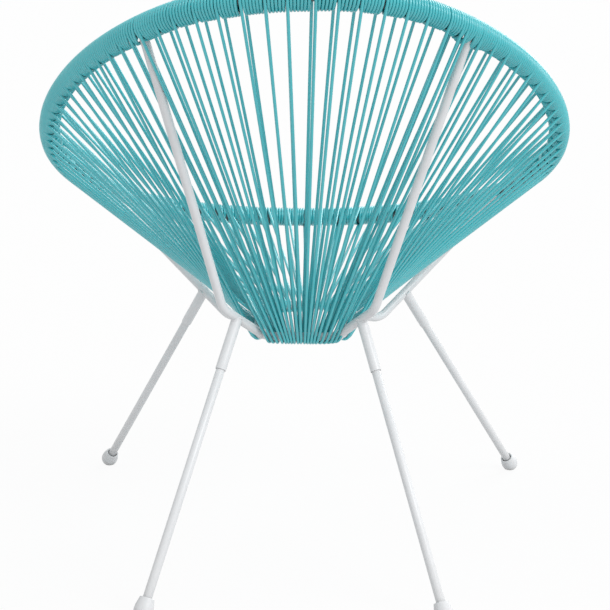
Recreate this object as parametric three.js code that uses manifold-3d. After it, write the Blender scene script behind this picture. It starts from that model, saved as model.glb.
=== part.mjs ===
// A lounge chair: round cord strung between a large hoop and a small ring, on four slanting legs.
// Millimetres, +Z up. The sitter faces -Y, so the tall back of the hoop is at +Y and left is +X.
import * as THREE from 'three';
import { mergeVertices } from 'three/addons/utils/BufferGeometryUtils.js';
import Module from 'manifold-3d';

const wasm = await Module();
wasm.setup();

// Stock
const hoopTubeDiameter = 20.8;
const tubeDiameter = 12;
const tubeWall = 1.2;
const cordDiameter = 4.2;
const touchGap = 0.3;

// Hoop, measured on its centre line: how far the back reaches behind the legs' middle and the sides and
// front reach before it, and the height of the three. The pull of the stringing has turned it a little
// to the left on the base, by an angle in radians.
const hoopWidth = 713.2;
const hoopBackReach = 402.4;
const hoopSideReach = 18.1;
const hoopFrontReach = 267.5;
const hoopBackHeight = 781.9;
const hoopSideHeight = 552.3;
const hoopFrontHeight = 408.5;
const hoopTurn = 0.032;

// Small ring under the seat, measured to its centre line
const ringWidth = 122;
const ringDepth = 205;
const ringCornerRadius = 38;
const ringHeight = 315.4;
const ringSetBack = 57.7;

// Supports between the hoop and the ring: where each one bends and where it is welded on
const bendRadius = 32;
const rearBendSide = 99;
const rearBendBack = 223;
const rearBendHeight = 366.6;
const rearHoopShare = 0.0973;
const rearRingAngle = 0.86;
const frontBendSide = 109;
const frontBendFront = 21;
const frontBendHeight = 302;
const frontHoopShare = 0.3616;

// Legs: where each axis meets the floor, and how far along its support the socket stands
const rearFootSide = 193.2;
const rearFootBack = 389;
const rearSocketShare = 0.355;
const frontFootSide = 329.3;
const frontFootFront = 273;
const frontSocketShare = 0.2;
const socketDiameter = 14.4;
const socketLength = 73.5;
const nutDepth = 11;
const nutLength = 9;
const studDiameter = 6;
const studLength = 11;
const plugLength = 18;

// Foot caps
const capDiameter = 25;
const capRimDiameter = 19.5;
const capHeight = 29;
const capFloor = 10;
const contactDiameter = 12.6;

// Stringing: the loops of cord in each stretch between two welds, and how they keep clear of the frame
const backLoops = 16;
const sideLoops = 23;
const frontLoops = 24;
const hoopWeldClearance = 19;
const ringWeldClearance = 11;
const ringCordGap = 0.6;
const rootDepth = 7;

// Facets
const tubeSides = 8;
const barSides = 12;
const cordSides = 4;
const bendSteps = 5;
const loopSteps = 3;
const cornerSteps = 6;
const noseSteps = 16;
const panelSteps = 4;
const capSteps = 5;

const tubeRadius = tubeDiameter / 2;
const hoopRadius = hoopTubeDiameter / 2;
const cordRadius = cordDiameter / 2;
const woundRadius = hoopRadius + cordRadius;
const turnLead = cordDiameter / 4;
const wrapRadius = hoopRadius + cordDiameter;
const up = new THREE.Vector3(0, 0, 1);
const loopRadius = (tubeRadius + cordRadius + ringCordGap) / Math.cos(Math.PI / (2 * loopSteps));

// A size that follows the hoop from its front over its sides to its back, for a cosine from -1 to 1.
function alongHoop(front, side, back, cosine) {
  return side + ((back - front) / 2) * cosine + ((back + front) / 2 - side) * cosine ** 2;
}

// The hoop's centre line: an egg shape in plan, round behind, that climbs from the front to the back.
class HoopCurve extends THREE.Curve {
  getPoint(t, target = new THREE.Vector3()) {
    const angle = 2 * Math.PI * t;
    return target.set(
      (hoopWidth / 2) * Math.sin(angle),
      alongHoop(-hoopFrontReach, -hoopSideReach, hoopBackReach, Math.cos(angle)),
      alongHoop(hoopFrontHeight, hoopSideHeight, hoopBackHeight, Math.cos(angle)),
    ).applyAxisAngle(up, hoopTurn);
  }
}

// A chain of points. A tube along it is cut at each point square to that point's direction.
class Route extends THREE.Curve {
  constructor(points, directions = Route.halfway(points)) {
    super();
    this.points = points;
    this.directions = directions;
  }

  static halfway(points) {
    const runs = points.slice(1).map((point, i) => point.clone().sub(points[i]).normalize());
    return points.map((_, i) => (runs[i - 1] ?? runs[i]).clone().add(runs[i] ?? runs[i - 1]).normalize());
  }

  static between(list, t, target) {
    const place = t * (list.length - 1);
    const index = Math.min(Math.floor(place), list.length - 2);
    return target.lerpVectors(list[index], list[index + 1], place - index);
  }

  getUtoTmapping(u) {
    return u;
  }

  getPoint(t, target = new THREE.Vector3()) {
    return Route.between(this.points, t, target);
  }

  getTangent(t, target = new THREE.Vector3()) {
    return Route.between(this.directions, t, target).normalize();
  }
}

// A route along the hoop. Its frames keep level, so that tubes along it lie facet beside facet.
class HoopRoute extends Route {
  constructor(places) {
    super(places.map(({ point }) => point), places.map(({ direction }) => direction));
  }

  computeFrenetFrames() {
    const tangents = this.directions;
    const normals = tangents.map((tangent) => tangent.clone().cross(up).normalize());
    const binormals = tangents.map((tangent, i) => tangent.clone().cross(normals[i]));
    return { tangents, normals, binormals };
  }
}

function steps(from, to, count) {
  return Array.from({ length: count + 1 }, (_, i) => from + ((to - from) * i) / count);
}

// Tubes and bars
function circle(radius, sides) {
  return steps(0, 2 * Math.PI, sides).slice(1)
    .map((angle) => new THREE.Vector2(radius * Math.cos(angle), radius * Math.sin(angle)));
}

function sweep(route, radius, sides = tubeSides, bore = 0) {
  const outline = new THREE.Shape(circle(radius, sides));
  if (bore > 0) {
    outline.holes.push(new THREE.Path(circle(bore, sides)));
  }
  return new THREE.ExtrudeGeometry(outline, { steps: route.points.length - 1, extrudePath: route });
}

function closedTube(route, radius) {
  return new THREE.TubeGeometry(route, route.points.length - 1, radius, tubeSides, true);
}

function bar(from, to, radius, bore = 0) {
  return sweep(new Route([from, to].map((height) => up.clone().multiplyScalar(height))), radius, barSides, bore);
}

// The radius of a faceted bore or cutter round a bar with the same facets.
function beside(radius, sides = tubeSides) {
  return radius + touchGap / Math.cos(Math.PI / sides);
}

// Joins and cuts
function solid(geometry) {
  const bare = geometry.clone();
  bare.deleteAttribute('normal');
  bare.deleteAttribute('uv');
  const merged = mergeVertices(bare);
  return new wasm.Manifold(new wasm.Mesh({
    numProp: 3,
    vertProperties: new Float32Array(merged.attributes.position.array),
    triVerts: new Uint32Array(merged.index.array),
  }));
}

function joinAndCut(parts, cutters) {
  const whole = wasm.Manifold.union(parts.map(solid));
  const mesh = cutters.reduce((rest, cutter) => rest.subtract(solid(cutter)), whole).getMesh();
  const geometry = new THREE.BufferGeometry();
  geometry.setAttribute('position', new THREE.BufferAttribute(mesh.vertProperties, 3));
  geometry.setIndex(new THREE.BufferAttribute(mesh.triVerts, 1));
  geometry.computeVertexNormals();
  return geometry;
}

// Finishes
const powderCoat = { color: 0xe9eaec, roughness: 0.38, metalness: 0 };
const vinylCord = { color: 0x47b4bb, roughness: 0.42, metalness: 0 };
const capPlastic = { color: 0xe2e3e5, roughness: 0.5, metalness: 0 };
const zincPlate = { color: 0xb9bcc0, roughness: 0.35, metalness: 0.9 };

function piece(name, geometry, finish) {
  const mesh = new THREE.Mesh(geometry, new THREE.MeshStandardMaterial(finish));
  mesh.name = name;
  return mesh;
}

// Places on the hoop are runs along its centre line, from the middle of the back towards the left.
const hoopCurve = new HoopCurve();
const hoopLength = hoopCurve.getLength();

function hoopAt(run) {
  const turn = run / hoopLength - Math.floor(run / hoopLength);
  return { point: hoopCurve.getPointAt(turn), direction: hoopCurve.getTangentAt(turn) };
}

// Places on the ring are runs from the middle of its rear towards the left, on its centre line or on a
// line inset from it: half the rear, a corner, the long side and half the nose.
function ringRuns(inset) {
  const flat = ringWidth / 2 - ringCornerRadius;
  const corner = flat + ((ringCornerRadius - inset) * Math.PI) / 2;
  const side = corner + ringDepth - ringCornerRadius - ringWidth / 2;
  const nose = side + ((ringWidth / 2 - inset) * Math.PI) / 2;
  const weld = flat + (ringCornerRadius - inset) * rearRingAngle;
  return { flat, weld, corner, side, nose, whole: 2 * nose };
}

function ringAt(run, inset) {
  const { flat, corner, side, whole } = ringRuns(inset);
  const signed = run - whole * Math.round(run / whole);
  const along = Math.abs(signed);
  const hand = signed < 0 ? -1 : 1;
  const rearLine = ringSetBack + ringDepth / 2;
  const sideLine = ringWidth / 2;
  let x = along;
  let y = rearLine;
  let turn = 0;
  if (along > side) {
    turn = Math.PI / 2 + (along - side) / (sideLine - inset);
    x = sideLine * Math.sin(turn);
    y = rearLine - ringDepth + sideLine * (1 + Math.cos(turn));
  } else if (along > corner) {
    turn = Math.PI / 2;
    x = sideLine;
    y = rearLine - ringCornerRadius - (along - corner);
  } else if (along > flat) {
    turn = (along - flat) / (ringCornerRadius - inset);
    x = flat + ringCornerRadius * Math.sin(turn);
    y = rearLine - ringCornerRadius * (1 - Math.cos(turn));
  }
  return {
    point: new THREE.Vector3(hand * x, y, ringHeight),
    direction: new THREE.Vector3(Math.cos(turn), -hand * Math.sin(turn), 0),
  };
}

// Supports: each runs down from the hoop to its bend and then inwards to the ring.
const centreRuns = ringRuns(0);
const innerRuns = ringRuns(loopRadius);

function bentRoute(start, corner, end) {
  const toStart = start.clone().sub(corner).normalize();
  const toEnd = end.clone().sub(corner).normalize();
  const inset = bendRadius / Math.tan(toStart.angleTo(toEnd) / 2);
  const bend = new THREE.QuadraticBezierCurve3(
    corner.clone().addScaledVector(toStart, inset),
    corner,
    corner.clone().addScaledVector(toEnd, inset),
  );
  const short = end.clone().addScaledVector(toEnd, -tubeRadius / 2);
  return new Route([start, ...bend.getPoints(bendSteps), short]);
}

function rearSupport(hand) {
  const top = hoopAt(hand * rearHoopShare * hoopLength).point;
  const bend = new THREE.Vector3(hand * rearBendSide, rearBendBack, rearBendHeight);
  const weld = ringAt(hand * centreRuns.weld, 0).point;
  return {
    route: bentRoute(top, bend, weld),
    socket: bend.clone().lerp(weld, rearSocketShare),
    foot: new THREE.Vector3(hand * rearFootSide, rearFootBack, 0),
  };
}

function frontSupport(hand) {
  const top = hoopAt(hand * frontHoopShare * hoopLength).point;
  const bend = new THREE.Vector3(hand * frontBendSide, -frontBendFront, frontBendHeight);
  const weld = ringAt(hand * centreRuns.side, 0).point;
  return {
    route: bentRoute(top, bend, weld),
    socket: bend.clone().lerp(top, frontSocketShare),
    foot: new THREE.Vector3(hand * frontFootSide, -frontFootFront, 0),
  };
}

const supports = {
  rear_left: rearSupport(1),
  rear_right: rearSupport(-1),
  front_left: frontSupport(1),
  front_right: frontSupport(-1),
};

// One loop of cord stands in for half a turn of the winding: down outside the ring, under it and up inside.
function loopRoute(hoopRun, ringRun) {
  const [outer, inner] = [1, -1].map((hand) => {
    const top = hoopAt(hoopRun - hand * turnLead);
    const low = ringAt(ringRun - hand * turnLead, loopRadius);
    const down = low.point.clone().sub(top.point).normalize();
    const topOut = top.direction.clone().cross(down).normalize();
    const lowOut = low.direction.clone().cross(down).normalize();
    const end = top.point.clone().addScaledVector(topOut, hand * woundRadius).addScaledVector(down, rootDepth);
    return { end, low, lowOut };
  });
  const turn = steps(0, 1, loopSteps).map((share) => {
    const out = outer.lowOut.clone().lerp(inner.lowOut, share).normalize();
    const under = out.clone().cross(outer.low.direction).normalize();
    const angle = Math.PI * share;
    return outer.low.point.clone().lerp(inner.low.point, share)
      .addScaledVector(out, loopRadius * Math.cos(angle))
      .addScaledVector(under, loopRadius * Math.sin(angle));
  });
  return new Route([outer.end, ...turn, inner.end]);
}

// The welds in order round the hoop, and the stretches of stringing between them. Each stretch is made
// in panels of neighbouring loops that hang from one length of the winding.
const welds = [
  { hoop: -rearHoopShare * hoopLength, ring: -innerRuns.weld },
  { hoop: rearHoopShare * hoopLength, ring: innerRuns.weld },
  { hoop: frontHoopShare * hoopLength, ring: innerRuns.side },
  { hoop: (1 - frontHoopShare) * hoopLength, ring: innerRuns.whole - innerRuns.side },
  { hoop: (1 - rearHoopShare) * hoopLength, ring: innerRuns.whole - innerRuns.weld },
];
const stretches = [
  { name: 'back', loops: backLoops, panels: 3 },
  { name: 'left', loops: sideLoops, panels: 3 },
  { name: 'front', loops: frontLoops, panels: 4 },
  { name: 'right', loops: sideLoops, panels: 3 },
];

function stretchPanels({ name, loops, panels }, from, to) {
  const hoopRuns = steps(from.hoop + hoopWeldClearance, to.hoop - hoopWeldClearance, loops - 1);
  const loopRuns = steps(from.ring + ringWeldClearance, to.ring - ringWeldClearance, loops - 1);
  const firsts = steps(0, loops, panels).map(Math.round);
  const bounds = firsts.map((first) => {
    if (first === 0) {
      return from.hoop;
    }
    return first === loops ? to.hoop : (hoopRuns[first - 1] + hoopRuns[first]) / 2;
  });
  return steps(1, panels, panels - 1).map((number) => ({
    name: `cord_${name}_${number}`,
    stations: steps(bounds[number - 1] + touchGap / 2, bounds[number] - touchGap / 2, panelSteps),
    loops: steps(firsts[number - 1], firsts[number] - 1, firsts[number] - firsts[number - 1] - 1)
      .map((loop) => loopRoute(hoopRuns[loop], loopRuns[loop])),
  }));
}

const panels = stretches.flatMap((stretch, i) => stretchPanels(stretch, welds[i], welds[i + 1]));

function panelGeometry({ stations, loops }) {
  const winding = sweep(new HoopRoute(stations.map(hoopAt)), wrapRadius, tubeSides, beside(hoopRadius));
  const strands = loops.map((loop) => sweep(loop, cordRadius, cordSides));
  const notches = Object.values(supports).map(({ route }) => sweep(route, beside(tubeRadius)));
  return joinAndCut([winding, ...strands], notches);
}

// Frame. The hoop turns where the lengths of winding do, so that their facets lie side by side.
const hoopStations = panels.flatMap(({ stations }) => stations.slice(0, -1));
const hoopRoute = new HoopRoute([...hoopStations, hoopStations[0] + hoopLength].map(hoopAt));
const ringStations = [
  ...steps(-centreRuns.flat, centreRuns.flat, 1),
  ...steps(centreRuns.flat, centreRuns.corner, cornerSteps).slice(1),
  ...steps(centreRuns.side, centreRuns.whole - centreRuns.side, noseSteps),
  ...steps(centreRuns.whole - centreRuns.corner, centreRuns.whole - centreRuns.flat, cornerSteps),
];
const ringPlaces = ringStations.map((run) => ringAt(run, 0));
const ringRoute = new Route(
  ringPlaces.map(({ point }) => point),
  ringPlaces.map(({ direction }) => direction),
);

function supportGeometry({ route }) {
  const cutters = [closedTube(hoopRoute, beside(hoopRadius)), closedTube(ringRoute, beside(tubeRadius))];
  return joinAndCut([sweep(route, tubeRadius)], cutters);
}

// A leg and its fittings, in a frame with the leg's axis along +Z and its origin on the floor.
function legPieces(name, { route, socket, foot }) {
  const leg = new THREE.Group();
  const axis = socket.clone().sub(foot);
  const top = axis.length();
  axis.normalize();
  leg.position.copy(foot);
  leg.quaternion.setFromUnitVectors(up, axis);
  leg.updateMatrix();
  const intoLeg = leg.matrix.clone().invert();

  const legBore = tubeRadius - tubeWall;
  const socketBore = beside(tubeRadius, barSides);
  const ballHeight = Math.sqrt(capDiameter ** 2 - contactDiameter ** 2) / 2 / axis.z;
  const capBoreEnd = ballHeight - capDiameter / 2 + capFloor;
  const nutTop = top - nutDepth;
  const legTop = nutTop - nutLength - touchGap;

  const socketTube = bar(top - socketLength, top - tubeRadius / 2, socketDiameter / 2, socketBore);
  const saddle = sweep(route, beside(tubeRadius)).applyMatrix4(intoLeg);
  leg.add(piece(`${name}_socket`, joinAndCut([socketTube], [saddle]), powderCoat));

  const nut = bar(nutTop - nutLength, nutTop, tubeRadius, beside(studDiameter / 2, barSides));
  leg.add(piece(`${name}_socket_nut`, nut, zincPlate));

  leg.add(piece(`${name}_leg`, bar(capBoreEnd + touchGap, legTop, tubeRadius, legBore), powderCoat));

  const plug = bar(legTop - plugLength, legTop, legBore - beside(0, barSides));
  const stud = bar(legTop - plugLength / 2, legTop + studLength, studDiameter / 2);
  leg.add(piece(`${name}_leg_stud`, joinAndCut([plug, stud], []), zincPlate));

  const ball = steps(-Math.PI / 2, 0, capSteps).slice(1).map((angle) => new THREE.Vector2(
    (capDiameter / 2) * Math.cos(angle),
    ballHeight + (capDiameter / 2) * Math.sin(angle),
  ));
  const cap = new THREE.LatheGeometry([
    new THREE.Vector2(0, ballHeight - capDiameter / 2),
    ...ball,
    new THREE.Vector2(capRimDiameter / 2, capHeight),
    new THREE.Vector2(socketBore, capHeight),
    new THREE.Vector2(socketBore, capBoreEnd),
    new THREE.Vector2(0, capBoreEnd),
  ], barSides).rotateX(Math.PI / 2);
  const floor = new THREE.BoxGeometry(2 * capDiameter, 2 * capDiameter, capDiameter)
    .translate(foot.x, foot.y, -capDiameter / 2)
    .applyMatrix4(intoLeg);
  leg.add(piece(`${name}_foot_cap`, joinAndCut([cap], [floor]), capPlastic));
  return leg;
}

const chair = new THREE.Group();
chair.add(piece('hoop', closedTube(hoopRoute, hoopRadius), powderCoat));
chair.add(piece('small_ring', closedTube(ringRoute, tubeRadius), powderCoat));
for (const [name, support] of Object.entries(supports)) {
  chair.add(piece(`${name}_support`, supportGeometry(support), powderCoat));
  chair.add(legPieces(name, support));
}
for (const panel of panels) {
  chair.add(piece(panel.name, panelGeometry(panel), vinylCord));
}

// The origin lies on the floor under the middle of the chair's box.
const middle = new THREE.Box3().setFromObject(chair, true).getCenter(new THREE.Vector3());
chair.position.set(-middle.x, -middle.y, 0);
const group = new THREE.Group();
group.add(chair);

export default group;
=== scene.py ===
# A lounge chair strung with one long vinyl cord between a wound hoop and a small ring, on four legs.
# Metres, +Z up. The sitter faces -Y, so the tall back is at +Y and the chair's left side at +X.
import math

import bpy
import numpy as np
from mathutils import Matrix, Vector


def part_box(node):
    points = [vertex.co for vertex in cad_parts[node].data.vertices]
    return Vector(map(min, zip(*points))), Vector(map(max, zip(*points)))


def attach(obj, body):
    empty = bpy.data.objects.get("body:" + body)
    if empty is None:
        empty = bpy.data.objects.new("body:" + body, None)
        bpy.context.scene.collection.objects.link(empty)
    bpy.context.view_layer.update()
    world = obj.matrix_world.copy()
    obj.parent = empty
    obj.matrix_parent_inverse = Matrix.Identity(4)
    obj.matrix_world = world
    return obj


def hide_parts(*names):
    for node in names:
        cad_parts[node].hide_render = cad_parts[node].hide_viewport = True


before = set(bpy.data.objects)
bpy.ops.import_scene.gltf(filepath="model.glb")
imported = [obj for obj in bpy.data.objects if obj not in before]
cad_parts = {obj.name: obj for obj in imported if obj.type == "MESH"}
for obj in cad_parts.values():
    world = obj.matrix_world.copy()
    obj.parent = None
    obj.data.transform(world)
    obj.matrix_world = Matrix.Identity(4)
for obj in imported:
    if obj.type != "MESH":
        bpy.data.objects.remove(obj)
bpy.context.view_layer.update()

# CAMERA
# It stands behind the chair, above the height of its back, and looks down at the seat with a long lens.
camera_place = (-0.08098, 2.42567, 0.86205)
camera_right = (-0.99951, -0.03314, 0.00205)
camera_up = (0.00867, -0.21044, 0.97757)
camera_back = (-0.03049, 0.97710, 0.21061)
camera_data = bpy.data.cameras.new("photo_camera")
camera_data.lens = 105.08
camera_data.sensor_width = 36
camera = bpy.data.objects.new("photo_camera", camera_data)
bpy.context.scene.collection.objects.link(camera)
turned = Matrix((camera_right, camera_up, camera_back)).transposed().to_4x4()
camera.matrix_world = Matrix.Translation(camera_place) @ turned
bpy.context.scene.camera = camera

# THE HOOP
# One steel tube bent to an egg shape, round behind, that climbs from the front of the seat to the top of
# the back. It is powder coated white, and shows only between turns of the cord that is wound round it. Here
# its coat is coloured dark grey-teal instead: painted shade for the shadow the white coat lies in under the cord.
hoop_width = 0.7132
hoop_reach = (-0.2675, -0.0181, 0.4024)
hoop_height = (0.4085, 0.5523, 0.7819)
hoop_turn = 0.032
hoop_radius = 0.0104
hoop_rows, tube_sides = 240, 20
table_rows = 6001
small_angle = 1e-4
crease_angle = math.radians(52)
ring_set_back = 0.0577
# The hoop's dark grey-teal is painted shade: the real coat is white, and lies in shadow under the winding.
frame_white, painted_shade_grey, dust_colour = (0.67, 0.675, 0.685, 1), (0.09, 0.125, 0.13, 1), (0.5, 0.48, 0.44, 1)
peel_depth = 0.000006
ring_box = np.array(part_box("small_ring"))
seat_middle = np.append(ring_box.mean(0)[:2], 0) - (0, ring_set_back, 0)


def unit(vectors):
    """Each vector divided by its own length."""
    return vectors / np.linalg.norm(vectors, axis=-1, keepdims=True)


def along_hoop(front, side, back, cosine):
    """A size that is front, side and back where the cosine is -1, 0 and 1: the parabola through the three."""
    return side + (back - front) / 2 * cosine + ((back + front) / 2 - side) * cosine**2


def hoop_line(angle):
    """x is half the width times the sine, y and z follow the cosine by along_hoop, all turned about z."""
    cosine, sine = np.cos(angle), np.sin(angle)
    x, y, z = hoop_width / 2 * sine, along_hoop(*hoop_reach, cosine), along_hoop(*hoop_height, cosine)
    c, s = math.cos(hoop_turn), math.sin(hoop_turn)
    return seat_middle + np.stack([c * x - s * y, s * x + c * y, z], -1)


hoop_angles = np.linspace(0, 2 * np.pi, table_rows)
hoop_steps = np.linalg.norm(np.diff(hoop_line(hoop_angles), axis=0), axis=-1)
hoop_runs = np.append(0, np.cumsum(hoop_steps))
hoop_length = hoop_runs[-1]


def hoop_at(run):
    """The point and direction of the hoop at a run from the middle of the back, found in a table of its length."""
    angle = np.interp(np.mod(run, hoop_length), hoop_runs, hoop_angles)
    return hoop_line(angle), unit(hoop_line(angle + small_angle) - hoop_line(angle - small_angle))


def skin(line, side, radius, count, closed=False):
    """Carries a circle along a line. A row is the line's point plus radius times (cosine * n + sine * m): n is
    the side vector without its part along the line, m is the line's direction cross n."""
    steps = unit(np.diff(line, axis=0, append=line[:1]))
    before = np.roll(steps, 1, axis=0)
    if not closed:
        steps[-1], before[0] = steps[-2], steps[0]
    along = unit(steps + before)
    side = np.broadcast_to(side, line.shape)
    n = unit(side - (side * along).sum(-1, keepdims=True) * along)
    m = np.cross(along, n)
    turn = (np.arange(count) * 2 * np.pi / count)[:, None]
    radius = np.broadcast_to(radius, len(line))[:, None, None]
    return line[:, None] + radius * (np.cos(turn) * n[:, None] + np.sin(turn) * m[:, None])


def faces_of(rows, columns, closed):
    """Quads between neighbouring rows and columns. Columns close; rows close, or end in a face of all columns."""
    i = np.arange(rows if closed else rows - 1)[:, None]
    j = np.arange(columns)[None]
    i_next, j_next = (i + 1) % rows, (j + 1) % columns
    quads = np.stack([i * columns + j, i * columns + j_next, i_next * columns + j_next, i_next * columns + j], -1)
    ends = [] if closed else [np.arange(columns)[::-1], (rows - 1) * columns + np.arange(columns)]
    return quads.reshape(-1, 4), ends


def corners_of(grid, closed):
    """The flat map of those quads: the length run along the first column, and the share of a turn round it."""
    line = np.concatenate([grid[:, 0], grid[:1, 0]]) if closed else grid[:, 0]
    run = np.append(0, np.cumsum(np.linalg.norm(np.diff(line, axis=0), axis=-1)))
    start, end = np.broadcast_arrays(run[:-1, None], run[1:, None])
    share = np.arange(grid.shape[1] + 1)[None] / grid.shape[1]
    low, high = share[:, :-1], share[:, 1:]
    around = [start, low], [start, high], [end, high], [end, low]
    return np.stack([np.stack(np.broadcast_arrays(*corner), -1) for corner in around], 2).reshape(-1, 2)


def make_piece(name, skins, finish, slot, *nodes):
    """Puts skins, each a grid of points and whether its rows close, into one smooth mesh that rides on root."""
    points, faces, corners, first = [], [], [], 0
    for grid, closed in skins:
        quads, ends = faces_of(*grid.shape[:2], closed)
        points.append(grid.reshape(-1, 3))
        faces += (quads + first).tolist() + [(end + first).tolist() for end in ends]
        corners += [corners_of(grid, closed)] + [np.zeros((len(end), 2)) for end in ends]
        first += grid.shape[0] * grid.shape[1]
    mesh = bpy.data.meshes.new(name)
    mesh.from_pydata(np.concatenate(points), [], faces)
    mesh.uv_layers.new(name="along").data.foreach_set("uv", np.concatenate(corners).astype(np.float32).ravel())
    mesh.shade_smooth()
    mesh.set_sharp_from_angle(angle=crease_angle)
    mesh.materials.append(finish)
    made = bpy.data.objects.new(name, mesh)
    bpy.context.scene.collection.objects.link(made)
    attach(made, "root")
    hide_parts(*nodes)


class Value:
    """A socket of a finish. A sign between it and a number or another socket adds a Math node."""

    def __init__(self, finish, socket):
        self.finish, self.socket = finish, socket

    def math(self, operation, *values):
        return self.finish.node("ShaderNodeMath", {"operation": operation}, dict(enumerate(values)))

    def __add__(self, other):
        return self.math("ADD", self, other)

    def __sub__(self, other):
        return self.math("SUBTRACT", self, other)

    def __rsub__(self, other):
        return self.math("SUBTRACT", other, self)

    def __mul__(self, other):
        return self.math("MULTIPLY", self, other)

    __radd__, __rmul__ = __add__, __mul__


class Finish:
    """A material. Its Principled shader's sockets are fed by name with values or links."""

    def __init__(self, name, **surface):
        self.material = bpy.data.materials.new(name)
        self.material.use_nodes = True
        self.tree = self.material.node_tree
        self.nodes = self.tree.nodes
        self.shader = self.nodes["Principled BSDF"]
        self.output = self.nodes["Material Output"]
        self.wear(**surface)

    def feed(self, node, sockets):
        """Links a Value to a socket of a node, and sets anything else as the socket's own value."""
        for socket, value in sockets.items():
            if isinstance(value, Value):
                self.tree.links.new(value.socket, node.inputs[socket])
            else:
                node.inputs[socket].default_value = value

    def node(self, kind, settings=(), sockets=(), out=0):
        """Adds a node of a kind, gives it its settings, a ramp its stops, and feeds its sockets."""
        made = self.nodes.new(kind)
        settings = dict(settings)
        for place, (stop, shade) in enumerate(settings.pop("stops", ())):
            point = made.color_ramp.elements[place] if place < 2 else made.color_ramp.elements.new(stop)
            point.position, point.color = stop, shade
        for setting, value in settings.items():
            setattr(made, setting, value)
        self.feed(made, dict(sockets))
        return Value(self, made.outputs[out])

    def place(self):
        """The point in the object's own space, in metres."""
        return self.node("ShaderNodeTexCoord", out="Object")

    def cloud(self, place, scale, detail=3, roughness=0.5):
        """Soft noise, from 0 to 1, with so many waves in a metre."""
        words = {"Vector": place, "Scale": scale, "Detail": detail, "Roughness": roughness}
        return self.node("ShaderNodeTexNoise", {"noise_dimensions": "3D"}, words)

    def ramp(self, value, *stops):
        """A value carried over a few stops, each a position and a shade."""
        stops = [(stop, (shade, shade, shade, 1) if np.isscalar(shade) else shade) for stop, shade in stops]
        return self.node("ShaderNodeValToRGB", {"stops": stops}, {0: value})

    def mix(self, share, first, second):
        """Two colours mixed by a share."""
        return self.node("ShaderNodeMix", {"data_type": "RGBA"}, {0: share, 6: first, 7: second}, out=2)

    def bump(self, height, depth, strength=1.0):
        """Grain that stands so many metres proud."""
        return self.node("ShaderNodeBump", (), {"Height": height, "Distance": depth, "Strength": strength})

    def wear(self, **surface):
        """Feeds the shader's sockets, each named with its spaces as low lines, and gives the material back."""
        self.feed(self.shader, {socket.replace("_", " "): value for socket, value in surface.items()})
        return self.material


def powder_coat(name, shade, soiled=0.0):
    """Polyester powder in the given shade, baked on: orange peel, faint mottling, and a little dust towards the
    floor. The hoop's dark shade is painted shade.
    """
    coat = Finish(name, IOR=1.5)
    place = coat.place()
    mottle = coat.ramp(coat.cloud(place, scale=22, detail=4, roughness=0.6), (0.35, 0), (0.7, 1))
    height = coat.node("ShaderNodeSeparateXYZ", (), {0: place}, out="Z")
    drift = coat.cloud(place, scale=60, detail=4, roughness=0.7)
    dust = coat.ramp(height * 4 + drift * 0.5, (0.25, soiled), (0.8, 0))
    darker = [part * 0.94 for part in shade[:3]] + [1]
    return coat.wear(
        Base_Color=coat.mix(dust, coat.mix(mottle, shade, darker), dust_colour),
        Roughness=coat.cloud(place, scale=40) * 0.16 + 0.3 + dust * 0.2,
        Normal=coat.bump(coat.cloud(place, scale=260, detail=1), depth=peel_depth, strength=0.5),
    )


tube_coat = powder_coat("powder_coat", frame_white)
# The hoop's coat is painted dark grey-teal as painted shade, so the gaps between the turns read as shadowed.
painted_shade_coat = powder_coat("shade_painted_powder_coat", painted_shade_grey)
hoop_points = hoop_at(np.linspace(0, hoop_length, hoop_rows, endpoint=False))[0]
hoop_skin = skin(hoop_points, (0, 0, 1), hoop_radius, tube_sides, True), True
make_piece("hoop_tube", [hoop_skin], painted_shade_coat, "frame", "hoop")

# THE SMALL RING
# A second steel tube, bent flat across the rear, straight along the sides and round at the nose, welded
# shut and coated with the hoop. The loops of cord hang it in the bottom of the seat.
ring_width, ring_depth, ring_corner, ring_height = 0.122, 0.205, 0.038, 0.3154
tube_radius = 0.006
ring_rows = 160


def ring_marks(inset):
    """Runs from the rear's middle to where the corner, side and nose begin and the ring is half way round."""
    flat = ring_width / 2 - ring_corner
    corner = flat + (ring_corner - inset) * math.pi / 2
    side = corner + ring_depth - ring_corner - ring_width / 2
    return flat, corner, side, side + (ring_width / 2 - inset) * math.pi / 2


def ring_at(run, inset=0.0):
    """A line, a quarter circle, a line and a quarter circle one after another, mirrored for runs below 0."""
    flat, corner, side, half = ring_marks(inset)
    run = np.asarray(run, float)
    signed = run - 2 * half * np.round(run / (2 * half))
    along, hand = np.abs(signed), np.where(signed < 0, -1, 1)
    first, second = (along - flat) / (ring_corner - inset), (along - side) / (ring_width / 2 - inset)
    where = [along > side, along > corner, along > flat]
    turn = np.select(where, [math.pi / 2 + second, math.pi / 2 + 0 * along, first], 0)
    x = np.select(where, [ring_width / 2 * np.sin(turn), ring_width / 2 + 0 * along,
                          flat + ring_corner * np.sin(first)], along)
    y = np.select(where, [ring_width / 2 * (1 + np.cos(turn)) - ring_depth, corner - along - ring_corner,
                          ring_corner * (np.cos(first) - 1)], 0)
    point = np.stack([hand * x, y + ring_set_back + ring_depth / 2, ring_height + 0 * x], -1)
    return seat_middle + point, np.stack([np.cos(turn), -hand * np.sin(turn), 0 * turn], -1)


ring_points = ring_at(np.linspace(0, 2 * ring_marks(0)[3], ring_rows, endpoint=False))[0]
ring_skin = skin(ring_points, (0, 0, 1), tube_radius, tube_sides, True), True
make_piece("small_ring_tube", [ring_skin], tube_coat, "frame", "small_ring")

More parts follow.
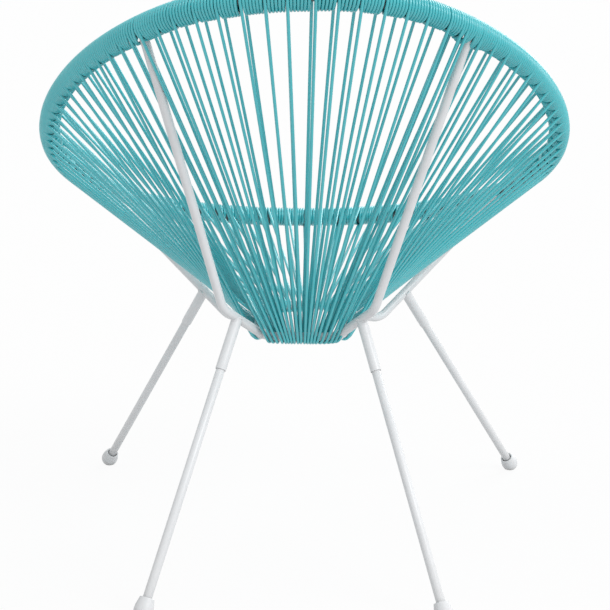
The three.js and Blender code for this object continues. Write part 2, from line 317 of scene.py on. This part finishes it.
# THE SUPPORTS
# Four bent steel tubes, each welded under the hoop at its top and to the small ring at its foot, with a
# bead of weld all round both joints. The rear two run up the back, the front two stay under the seat.
bend_radius, bend_rows = 0.032, 21
hoop_weld_shares, ring_weld_share = np.array([0.0973, 0.3616]), 0.86
rear_shift = 0.003
hoop_welds = hoop_weld_shares * hoop_length
ring_flat, _, ring_side, _ = ring_marks(0)
ring_weld = ring_flat + ring_corner * ring_weld_share
top_sink, foot_sink = 0.8 * hoop_radius, 0.7 * tube_radius
bead_radius, bead_rows, bead_sides = 0.0014, 48, 8
# each support: the run of its weld on the hoop, the run of its weld on the ring, and the corner of its bend
support_facts = {
    "rear_left": (hoop_welds[0] - rear_shift, ring_weld, (0.099, 0.223, 0.3666)),
    "rear_right": (-hoop_welds[0] - rear_shift, -ring_weld, (-0.099, 0.223, 0.3666)),
    "front_left": (hoop_welds[1], ring_side, (0.109, -0.021, 0.302)),
    "front_right": (-hoop_welds[1], -ring_side, (-0.109, -0.021, 0.302)),
}


def bent_line(start, corner, end):
    """Straight to a bend, round it on the parabola that touches both sides, and straight on."""
    inset = bend_radius / math.tan(math.acos(unit(start - corner) @ unit(end - corner)) / 2)
    first, last = corner + inset * unit(start - corner), corner + inset * unit(end - corner)
    share = np.linspace(0, 1, bend_rows)[:, None]
    bend = (1 - share) ** 2 * first + 2 * share * (1 - share) * corner + share**2 * last
    return np.concatenate([start[None], bend, end[None]])


def slid(points, way, axis, radius, hand):
    """Points moved along a way until they lie a radius from an axis through the origin. With both flattened on
    the plane across the axis that is a quadratic, and hand, 1 or -1, picks its far or near root."""
    flat_points, flat_way = points - np.outer(points @ axis, axis), way - (way @ axis) * axis
    a, b, c = flat_way @ flat_way, 2 * flat_points @ flat_way, (flat_points**2).sum(-1) - radius**2
    slide = (hand * np.sqrt(np.maximum(b**2 - 4 * a * c, 0)) - b) / (2 * a)
    return points + slide[:, None] * way


def weld_bead(centre, axis, main_radius, towards):
    """The line where a thin tube meets a main tube: the thin tube's wall, slid along it onto the main tube. The
    bead swells and shrinks along that line by two sine waves."""
    side = unit(np.cross(towards, axis))
    turn = (np.arange(bead_rows) * 2 * np.pi / bead_rows)[:, None]
    wall = tube_radius * (np.cos(turn) * side + np.sin(turn) * np.cross(towards, side))
    ripple = 1 + 0.16 * np.sin(turn[:, 0] * 11) + 0.1 * np.sin(turn[:, 0] * 3 + 1)
    line = centre + slid(wall, towards, axis, main_radius, 1)
    return skin(line, towards, bead_radius * ripple, bead_sides, True), True


support_lines = {}
for corner_name, (hoop_run, ring_run, bend) in support_facts.items():
    top, top_way = (found[0] for found in hoop_at(np.array([hoop_run])))
    foot, foot_way = (found[0] for found in ring_at(np.array([ring_run])))
    line = bent_line(top, seat_middle + bend, foot)
    support_lines[corner_name] = line
    down, up = unit(line[1] - line[0]), unit(line[-2] - line[-1])
    line = np.concatenate([[line[0] + top_sink * down], line[1:-1], [line[-1] + foot_sink * up]])
    beads = [weld_bead(top, top_way, hoop_radius, down), weld_bead(foot, foot_way, tube_radius, up)]
    tube = skin(line, (0, 1, 0.01), tube_radius, tube_sides), False
    make_piece(f"{corner_name}_support_tube", [tube, *beads], tube_coat, "frame", f"{corner_name}_support")

# THE SOCKETS
# Four short tubes, a little wider than the legs, welded square under the supports. Each holds a threaded
# insert for a leg's stud, and its turned lower rim shows as a fine dark seam.
socket_radius, socket_bore, socket_length = 0.0072, 0.0063, 0.0735
joint_shares = {"rear": 0.355, "front": 0.2}
socket_sides, socket_sink = 28, 0.8 * tube_radius
socket_bead_radius, socket_shoulder, socket_end = 0.0012, 0.02, 0.004
# the rim as heights above its edge and radii: the bore, the edge, and the outer wall
socket_rim = [(0.006, socket_bore), (0.0012, socket_bore), (0, 0.0068), (0, 0.0071), (0.0004, socket_radius),
              (0.02, socket_radius)]
foot_places = {
    "rear_left": (0.1932, 0.389, 0), "rear_right": (-0.1932, 0.389, 0),
    "front_left": (0.3293, -0.273, 0), "front_right": (-0.3293, -0.273, 0),
}
leg_axes = {}


def turned_part(origin, axis, profile, count):
    """Carries a profile of heights and radii round an axis: origin + height * axis + radius * (cos, sin)."""
    height, radius = np.array(profile, float).T[:, :, None, None]
    side = unit(np.cross(axis, (0.0, 1.0, 0.0)))
    turn = (np.arange(count) * 2 * np.pi / count)[None, :, None]
    return origin + height * axis + radius * (np.cos(turn) * side + np.sin(turn) * np.cross(axis, side))


for corner_name, line in support_lines.items():
    bend = seat_middle + support_facts[corner_name][2]
    rear = corner_name.startswith("rear")
    # a rear socket is welded under the length from the bend to the ring, a front one under that to the hoop
    end = line[-1] if rear else line[0]
    joint = bend + joint_shares["rear" if rear else "front"] * (end - bend)
    foot = seat_middle + foot_places[corner_name]
    axis, top = unit(joint - foot), np.linalg.norm(joint - foot)
    leg_axes[corner_name] = foot, axis, top
    profile = [(top - socket_length + height, radius) for height, radius in socket_rim]
    profile += [(top - socket_shoulder, socket_radius), (top - socket_end, socket_radius)]
    grid = turned_part(foot, axis, profile, socket_sides)
    # the top row is slid up the socket until it lies just inside the support tube, and the bead lies on it
    support_way = unit(end - bend)
    offset = grid[-1] - joint
    flat_offset = offset - np.outer(offset @ axis, axis)
    grid[-1] = joint + slid(flat_offset, axis, support_way, socket_sink, -1)
    bead_line = joint + slid(flat_offset, axis, support_way, tube_radius, -1)
    ripple = 1 + 0.18 * np.sin(np.arange(socket_sides) * 2.6)
    bead = skin(bead_line, axis, socket_bead_radius * ripple, bead_sides, True), True
    make_piece(f"{corner_name}_socket_tube", [(grid, False), bead], tube_coat, "frame", f"{corner_name}_socket")

# THE LEGS
# Four straight tubes that screw into the sockets and slant out to the floor, coated like the frame.
# A little street dust sits on them near their feet.
leg_start, leg_stop, leg_bore, leg_edge, leg_mouth = 0.0125, 0.0205, 0.0046, 0.0058, 0.0052
leg_coat = powder_coat("leg_powder_coat", frame_white, soiled=0.12)
for corner_name, (foot, axis, top) in leg_axes.items():
    high = top - leg_stop
    profile = [(leg_start, leg_bore), (leg_start, leg_edge), (leg_start + 0.0003, tube_radius),
               (high - 0.0008, tube_radius), (high, leg_mouth), (high, leg_bore)]
    make_piece(f"{corner_name}_leg_tube", [(turned_part(foot, axis, profile, socket_sides), False)],
               leg_coat, "frame", f"{corner_name}_leg")

# THE FOOT CAPS
# Four white moulded bells, pushed over the ends of the legs. Each has a rim round a shadowed recess and
# a round end that is ground flat, so that it stands level.
ball_radius, flat_radius, cap_sides = 0.0125, 0.0063, 40
bell_turns = np.linspace(0.06, math.pi / 2, 12)
# heights along the leg and radii, over the rounded rim and down the recess and the bore to its floor
cap_rim = [(0.0272, 0.0099), (0.0281, 0.0098), (0.0287, 0.00955), (0.029, 0.0092), (0.029, 0.0078),
           (0.0286, 0.0073), (0.026, 0.00695), (0.024, 0.0065), (0.0205, 0.0063), (0.0108, 0.0063),
           (0.0103, 0.0055), (0.0103, 0.001)]
cap_plastic = Finish("cap_plastic", IOR=1.46)
cap_place = cap_plastic.place()
cap_height = cap_plastic.node("ShaderNodeSeparateXYZ", (), {0: cap_place}, out="Z")
rubbed = cap_plastic.cloud(cap_place, scale=300, detail=4, roughness=0.7)
scuffs = cap_plastic.ramp(cap_height * 90 + rubbed * 0.9, (0.45, 0.35), (0.95, 0))
cloudy = cap_plastic.ramp(cap_plastic.cloud(cap_place, scale=120), (0.3, 0), (0.75, 1))
cap_white, cap_grey, scuffed = (0.64, 0.645, 0.655, 1), (0.6, 0.605, 0.61, 1), (0.4, 0.38, 0.35, 1)
cap_finish = cap_plastic.wear(
    Base_Color=cap_plastic.mix(scuffs, cap_plastic.mix(cloudy, cap_white, cap_grey), scuffed),
    Roughness=cap_plastic.cloud(cap_place, scale=200, detail=2) * 0.15 + 0.42,
    Normal=cap_plastic.bump(cap_plastic.cloud(cap_place, scale=500, detail=2), depth=0.000006, strength=0.5),
)
for corner_name, (foot, axis, top) in leg_axes.items():
    ball_height = math.sqrt(ball_radius**2 - flat_radius**2) / axis[2]
    bell = [(ball_height - ball_radius * math.cos(turn), ball_radius * math.sin(turn)) for turn in bell_turns]
    neck = [(ball_height + 0.005, 0.01215), (ball_height + 0.0095, 0.01105)]
    grid = turned_part(foot, axis, bell + neck + cap_rim, cap_sides)
    grid[..., 2] = np.maximum(grid[..., 2], 0)
    make_piece(f"{corner_name}_foot_bell", [(grid, False)], cap_finish, "foot", f"{corner_name}_foot_cap")

# THE STUDS AND NUTS
# Zinc-plated steel, hidden in the joints: a threaded insert fixed in each socket, and a threaded stud
# with a plug that is pressed into the top of each leg. They are shown as the frame has them.
zinc = Finish("zinc_plate", Metallic=1.0)
zinc_place = zinc.place()
bloom = zinc.cloud(zinc_place, scale=260, detail=4, roughness=0.65)
thread = zinc.node("ShaderNodeTexWave", {"bands_direction": "Z"},
                   {"Vector": zinc_place, "Scale": 320, "Distortion": 0.6})
bright_zinc, dull_zinc = (0.62, 0.63, 0.65, 1), (0.5, 0.49, 0.44, 1)
zinc_finish = zinc.wear(
    Base_Color=zinc.mix(zinc.ramp(bloom, (0.35, 0), (0.7, 1)), bright_zinc, dull_zinc),
    Roughness=bloom * 0.25 + 0.2,
    Normal=zinc.bump(thread, depth=0.0002, strength=0.7),
)
for corner_name in leg_axes:
    for part in ("socket_nut", "leg_stud"):
        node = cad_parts[f"{corner_name}_{part}"]
        node.data.materials.clear()
        node.data.materials.append(zinc_finish)

# THE STRINGING
# One long round cord of extruded vinyl, wound close round the hoop. Every seventh turn or so it is led
# down outside the small ring, under it, up inside and back into the winding, and is held by its own pull.
cord_radius, wound_clearance, looped_clearance = 0.00205, 0.0001, 0.0002
wound_radius = hoop_radius + cord_radius + wound_clearance
looped_radius = tube_radius + cord_radius + looped_clearance
turn_pitch = 0.0041
turn_samples, loop_rows, strand_rows, cord_sides = 16, 9, 7, 8
deep_teal, teal, pale_teal = (0.022, 0.38, 0.425, 1), (0.045, 0.475, 0.52, 1), (0.062, 0.51, 0.55, 1)
# how far the turns hang below the hoop, loosest at the middle of the back, by run along the hoop
slack_runs = [-0.4, -0.262, -0.236, -0.214, -0.196, -0.15, -0.12, -0.1, -0.075, -0.05, -0.025, 0.0, 0.04, 0.09,
              0.11, 0.13, 0.16, 0.2, 0.23, 0.3, 0.42]
slack_sizes = [0.0, 0.003, 0.0095, 0.007, 0.0024, 0.0022, 0.003, 0.0042, 0.0055, 0.007, 0.0088, 0.0102, 0.0103,
               0.0096, 0.0084, 0.0068, 0.0054, 0.0058, 0.0055, 0.0025, 0.0]
# the share of the strands' lean that the turns take up as they hang, and how far a loop slants under the ring
lean, ring_slant = 0.9, 0.0015
# the turns part for a support's weld, most at an angle below the hoop's outer side
support_gap, support_angle = 0.0072, 1.3
# every strand of the two sides draws the turns that follow it aside under the hoop, less with each turn; on the
# right it draws them along with itself, so that it also comes back further on
drawn_left, drawn_right, drawn_angle, drawn_length = 0.0056, 0.0105, 0.8, 0.034


def vinyl(name):
    """Teal vinyl: a satin skin with fine drawing lines along the cord and slow changes of tone."""
    cord = Finish(name, IOR=1.55, Coat_Weight=0.75, Coat_Roughness=0.34)
    flat = cord.node("ShaderNodeUVMap", {"uv_map": "along"})
    stretched = cord.node("ShaderNodeVectorMath", {"operation": "MULTIPLY"}, {0: flat, 1: (6.0, 14.0, 0.0)})
    drawn = cord.cloud(stretched, scale=1.0, roughness=0.6)
    slow = cord.cloud(cord.place(), scale=9, detail=2)
    grain = cord.cloud(cord.place(), scale=1400, detail=2)
    tone = cord.mix(cord.ramp(drawn, (0.3, 0), (0.7, 1)), deep_teal, teal)
    return cord.wear(
        Base_Color=cord.mix(cord.ramp(slow, (0.35, 0), (0.65, 0.35)), tone, pale_teal),
        Roughness=drawn * 0.14 + 0.24,
        Normal=cord.bump(grain, depth=0.00003, strength=0.5),
    )


vinyl_finish = vinyl("vinyl_cord")

# every loop, in order along the hoop: the run where the cord leaves for the ring, and the ring run it goes to
back_leaves = np.array([-215.1, -206.6, -185.7, -152.8, -124.4, -95.7, -66.1, -39.3, -12.7, 19.5, 45.4, 74.0, 104.4,
                        133.8, 165.0, 191.7, 220.0]) / 1000
back_rings = np.array([-39.0, -34.8, -30.4, -26.2, -22.1, -17.9, -13.8, -9.6, -5.4, -0.3, 3.9, 8.9, 13.0, 17.2, 21.3,
                       25.6, 30.3]) / 1000
# and, where they were measured, how far past its leave a loop arrives back, and the gap that it leaves open
back_offsets = np.array([2.0, 0.7, 3.7, 3.2, 3.0, 2.6, 2.0, 2.4, 3.9, 2.1, 4.2, 1.9, 1.5, 0.6, 0.4, 0.4, 0.4]) / 1000
back_gaps = np.array([0.2, 0.2, 1.0, 0.3, 0.3, 1.9, 0.4, 0.5, 3.2, 0.3, 0.2, 2.2, 0.3, 0.6, 0.6, 0.4, 0.2]) / 1000
left_leaves = np.array([0.2400, 0.2620, 0.2885, 0.3140, 0.3396, 0.3650, 0.3904, 0.4157, 0.4410, 0.4715, 0.5010,
                        0.5245, 0.5460, 0.5775, 0.6030, 0.6295, 0.6520, 0.6790, 0.7060, 0.7330, 0.7600, 0.7860,
                        0.8130, 0.8390])
right_leaves = -np.array([0.8390, 0.8110, 0.7810, 0.7520, 0.7220, 0.6920, 0.6610, 0.6320, 0.6020, 0.5705, 0.5395,
                          0.5155, 0.4890, 0.4605, 0.4315, 0.3985, 0.3675, 0.3310, 0.3010, 0.2710, 0.2430])
front_leaves = np.array([0.8640, 0.8910, 0.9190, 0.9460, 0.9740, 1.0010, 1.0270, 1.0470, 1.0675, 1.0945, 1.1130,
                         1.1430, 1.1730, 1.1990, 1.2250, 1.2585, 1.2890, 1.3155, 1.3430, 1.3700, 1.3970, 1.4240,
                         1.4510, 1.4780])
# the first two loops past each rear support go to the ring's corner, between the back loops and the weld
left_corner_rings, right_corner_rings = np.array([0.0346, 0.0388]), np.array([-0.0430, -0.0388])
# runs on the line of the loops round the ring: its welds with the supports, and half way round
flat_mark, _, side_mark, half_mark = ring_marks(looped_radius)
weld_mark = flat_mark + (ring_corner - looped_radius) * ring_weld_share
# the room beside a weld, and how far a place on the ring or the hoop and a gap in the winding stray
ring_spread, ring_play, hoop_play, gap_play = 0.0088, 0.0004, 0.0012, 0.0003
# a stretch starts and ends on top of the hoop, at this share of a turn past its outer side, and a turn that
# comes back from the ring moves on by this much at least
top_share, least_step = 0.75, 0.0006
chance = np.random.default_rng(7)


def spaced(first, last, count):
    """Even places between two welds on the ring, each a little out of true."""
    places = np.linspace(first + ring_spread, last - ring_spread, count)
    return places + chance.uniform(-ring_play, ring_play, count)


def shaken(leaves, size):
    """Loops as counted, each a little out of true."""
    return leaves + chance.uniform(-size, size, len(leaves))


# the welds in order along the hoop, from the front right one to the same one a whole hoop further on
weld_runs = np.array([-hoop_welds[1], -hoop_welds[0], hoop_welds[0], hoop_welds[1], hoop_length - hoop_welds[1]])
front_stop = 2 * half_mark - side_mark
# each stretch: its two welds, its leaves and their places on the ring, and the back's own offsets and gaps
stretches = {
    "back": (*weld_runs[1:3], back_leaves, back_rings, (back_offsets, back_gaps)),
    "left": (*weld_runs[2:4], left_leaves,
             np.append(left_corner_rings, spaced(weld_mark, side_mark, len(left_leaves) - 2)), None),
    "front": (*weld_runs[3:5], front_leaves, spaced(side_mark, front_stop, len(front_leaves)), None),
    "right": (*weld_runs[0:2], right_leaves,
              np.append(spaced(-side_mark, -weld_mark, len(right_leaves) - 2), right_corner_rings), None),
}
# which run on the ring the strands at a run on the hoop make for
ring_table_runs = np.concatenate([weld_runs[:2], back_leaves[[0, -1]], weld_runs[2:]])
ring_table_marks = np.array([-side_mark, -weld_mark, *back_rings[[0, -1]], weld_mark, side_mark, front_stop])
far_off, hair = 9.0, 0.0001
side_leaves = np.concatenate([[-far_off], right_leaves, left_leaves, [far_off]])


def hoop_frame(run):
    """At a run on the hoop: its point, its direction T, outwards o = T cross the strand, below b = o cross T, and
    the lean, the strand's share along T over its share along b."""
    point, along = hoop_at(run)
    ring_point = ring_at(np.interp(run, ring_table_runs, ring_table_marks), looped_radius)[0]
    strand = unit(ring_point - point)
    out = unit(np.cross(along, strand))
    below = np.cross(out, along)
    slope = (strand * along).sum(-1) / (strand * below).sum(-1)
    return point, along, out, below, slope


def turn_points(run, turns):
    """A helix round the hoop: the point plus radius times (cosine * out + sine * below), where the lower half is
    let down by the slack, leans with the strands, steps aside for the supports and is drawn along by the strand
    before it. The parting at a weld is the root of distance squared plus gap squared, less the distance."""
    point, along, out, below, slope = hoop_frame(run)
    angle = 2 * np.pi * turns
    slack = np.interp(run, slack_runs, slack_sizes)
    down = wound_radius * np.sin(angle) + slack * np.maximum(np.sin(angle), 0)
    nearest = run - weld_runs[np.abs(run[:, None] - weld_runs).argmin(1)]
    under = np.maximum(np.cos(angle - support_angle), 0) ** 2
    aside = np.where(nearest < 0, -1, 1) * np.sqrt(nearest**2 + (support_gap * under) ** 2) - nearest
    reached = run - turn_pitch / 2
    last = np.searchsorted(side_leaves, reached + hair) - 1
    share = (reached - side_leaves[last]) / np.minimum(np.diff(side_leaves)[last], drawn_length)
    right = run < 0
    drawn = np.where(right, drawn_right, drawn_left) * np.maximum(np.sin(angle - right * drawn_angle), 0)
    aside += drawn * (1 - np.clip(share, 0, 1))
    shift = lean * slope * down + aside
    outwards = wound_radius * np.cos(angle)
    return point + outwards[:, None] * out + down[:, None] * below + shift[:, None] * along, along


def strand_and_loop(leave, arrive, ring_run):
    """From the hoop straight to the ring, half a turn under it from its outer to its inner side, and back up."""
    start, end = turn_points(np.array([leave, arrive]), np.array([0.0, 0.5]))[0]
    share = np.linspace(0, 1, loop_rows)
    centre, along = ring_at(ring_run + ring_slant * (2 * share - 1), looped_radius)
    strand = unit(centre - start)
    out = unit(np.cross(along, strand))
    below = np.cross(out, along)
    slope = (strand * along).sum(-1) / (strand * below).sum(-1)
    cosine, sine = np.cos(np.pi * share)[:, None], np.sin(np.pi * share)[:, None]
    loop = centre + looped_radius * (cosine * out + sine * (below + slope[:, None] * along))
    part = np.linspace(0, 1, strand_rows)[1:-1, None]
    down, up = start + part * (loop[0] - start), loop[-1] + part * (end - loop[-1])
    hoop_way = hoop_at(np.array([leave]))[1]
    ways = [hoop_way + part * (along[:1] - hoop_way), along, along[-1:] + part * (hoop_way - along[-1:])]
    return np.concatenate([down, loop, up]), np.concatenate(ways)


def winding(begin, stop, knots, knot_runs):
    """The cord from one number of turns to another, each point's run read off a straight line between knots."""
    turns = np.linspace(begin, stop, int(round((stop - begin) * turn_samples)) + 1)
    return turn_points(np.interp(turns, knots, knot_runs), turns)


for stretch_name, (start, end, leaves, rings, measured) in stretches.items():
    leaves = leaves if measured else shaken(leaves, hoop_play)
    offsets, gaps = measured or (turn_pitch / 2, np.abs(chance.normal(0, gap_play, len(leaves))))
    # whole turns between the leaves, which share the space that the gaps leave
    spaces = np.append(np.diff(leaves), 0) - gaps
    whole = np.maximum(np.round(spaces / turn_pitch), 2)
    pitches = np.append((spaces / whole)[:-1], turn_pitch)
    lead_in = max(round((leaves[0] - start) / turn_pitch - (1 - top_share)), 1)
    marks = lead_in + 1 + np.append(0, np.cumsum(whole[:-1]))
    last_mark = marks[-1] + max(round((end - leaves[-1]) / turn_pitch - top_share), 1) + top_share
    # the winding's knots: turns and runs at its start, at each leave, arrival and next turn, and at its end
    arrivals = leaves + offsets
    settled = np.maximum(leaves + pitches + gaps, arrivals + least_step)
    knots = np.concatenate([[top_share], np.stack([marks, marks + 0.5, marks + 1], 1).ravel(), [last_mark]])
    knot_runs = np.concatenate([[start], np.stack([leaves, arrivals, settled], 1).ravel(), [end]])
    parts, begin = [], top_share
    for mark, leave, arrive, ring_run in zip(marks, leaves, arrivals, rings):
        parts += [winding(begin, mark, knots, knot_runs), strand_and_loop(leave, arrive, ring_run)]
        begin = mark + 0.5
    parts.append(winding(begin, last_mark, knots, knot_runs))
    line, ways = (np.concatenate(rows) for rows in zip(*parts))
    nodes = sorted(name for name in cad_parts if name.startswith(f"cord_{stretch_name}_"))
    make_piece(f"cord_{stretch_name}", [(skin(line, ways, cord_radius, cord_sides), False)],
               vinyl_finish, "cord", *nodes)

# THE FLOOR AND THE LIGHT
# A plain white studio floor that keeps the chair's shadow, an even white surround, and two broad soft
# lamps: the stronger one behind the camera and to its right, the weaker one beyond the chair.
floor_half, floor_whiteness = 60.0, 0.92
floor_corners = floor_half * np.array([(-1, -1, 0), (1, -1, 0), (1, 1, 0), (-1, 1, 0)])
floor_mesh = bpy.data.meshes.new("studio_floor")
floor_mesh.from_pydata(floor_corners, [], [(0, 1, 2, 3)])
floor = bpy.data.objects.new("studio_floor", floor_mesh)
bpy.context.scene.collection.objects.link(floor)
paper = Finish("studio_paper", Roughness=0.9)
paper_fibres = paper.cloud(paper.place(), scale=3, detail=2)
paper_tone = paper.mix(paper_fibres, (0.6, 0.6, 0.605, 1), (0.63, 0.63, 0.63, 1))
floor_mesh.materials.append(paper.wear(Base_Color=paper_tone))


def shown_white(finish, kind, share):
    """Mixes a plain white light into a finish by a share, on rays that the camera sees straight, in a gloss or
    through glass, and leaves all other rays the finish's own shader."""
    seen, mirrored, through = (finish.node("ShaderNodeLightPath", out=f"Is {ray} Ray")
                               for ray in ("Camera", "Glossy", "Transmission"))
    white = finish.node(kind, (), {"Color": (1, 1, 1, 1), "Strength": 1.0})
    own = Value(finish, finish.shader.outputs[0])
    both = finish.node("ShaderNodeMixShader", (), {0: (seen + mirrored + through) * share, 1: own, 2: white})
    finish.feed(finish.output, {"Surface": both})


class Surround(Finish):
    """The world round the floor. Its one Background shader is fed as a finish's shader is."""

    def __init__(self, name, **light):
        self.world = bpy.data.worlds.new(name)
        self.world.use_nodes = True
        self.tree = self.world.node_tree
        self.nodes = self.tree.nodes
        self.shader, self.output = self.nodes["Background"], self.nodes["World Output"]
        self.feed(self.shader, light)


studio = Surround("studio", Color=(0.98, 0.99, 1, 1), Strength=0.86)
bpy.context.scene.world = studio.world
shown_white(paper, "ShaderNodeEmission", floor_whiteness)
shown_white(studio, "ShaderNodeBackground", 1.0)


def studio_sun(name, strength, angle, towards):
    """A far lamp as wide as the angle, shining along the given way."""
    lamp = bpy.data.lights.new(name, "SUN")
    lamp.energy, lamp.angle = strength, math.radians(angle)
    hung = bpy.data.objects.new(name, lamp)
    back = unit(-np.array(towards, float))
    side = unit(np.cross((0.0, 0.0, 1.0), back))
    hung.matrix_world = Matrix((side, np.cross(back, side), back)).transposed().to_4x4()
    bpy.context.scene.collection.objects.link(hung)


studio_sun("key_light", strength=1.55, angle=30, towards=(1.0, -0.75, -0.9))
studio_sun("back_light", strength=1.2, angle=36, towards=(0.5, 0.8, -0.6))

bpy.context.scene.view_settings.view_transform = "Standard"
